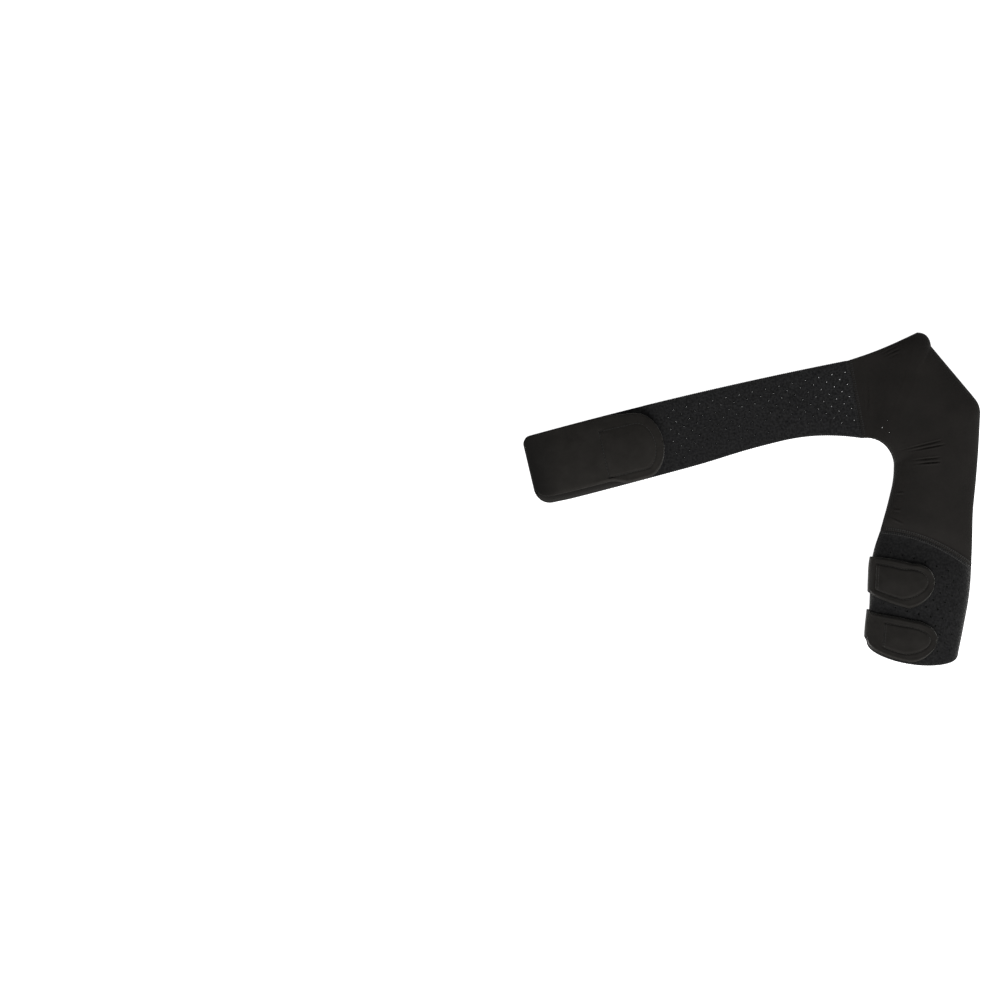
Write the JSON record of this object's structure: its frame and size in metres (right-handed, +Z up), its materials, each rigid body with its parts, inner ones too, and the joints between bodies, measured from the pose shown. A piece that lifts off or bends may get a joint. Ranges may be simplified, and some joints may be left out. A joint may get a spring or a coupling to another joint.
{
  "type": "shoulder brace",
  "caption": "One-shoulder compression brace of black neoprene lying flat: shoulder cap with sleeve, perforated chest strap with closing tab, and arm cuff with closing straps.",
  "frame": {"origin": "middle of the brace's outline as it lies, on the surface it lies on", "axes": "+Z up out of the brace's front, +X from the strap's end towards the sleeve, +Y from the cuff towards the shoulder's tip"},
  "size_m": [0.5702, 0.4156, 0.0322],
  "materials": {
    "smooth_neoprene": "matte brown-black knit face on neoprene foam",
    "perforated_neoprene": "matte black knit face on punched neoprene foam",
    "loop_fabric": "brushed loop pile on neoprene foam",
    "hook_tape": "black hook fastener tape"
  },
  "bodies": {
    "root": {"shoulder_front": "smooth_neoprene", "shoulder_back": "smooth_neoprene", "chest_strap_front": "perforated_neoprene", "chest_strap_back": "perforated_neoprene", "chest_tab": "loop_fabric", "chest_hook_patch": "hook_tape", "cuff_front": "perforated_neoprene", "cuff_back": "perforated_neoprene", "arm_strap_upper": "loop_fabric", "arm_strap_lower": "loop_fabric", "arm_hook_upper": "hook_tape", "arm_hook_lower": "hook_tape"}
  },
  "joints": []
}
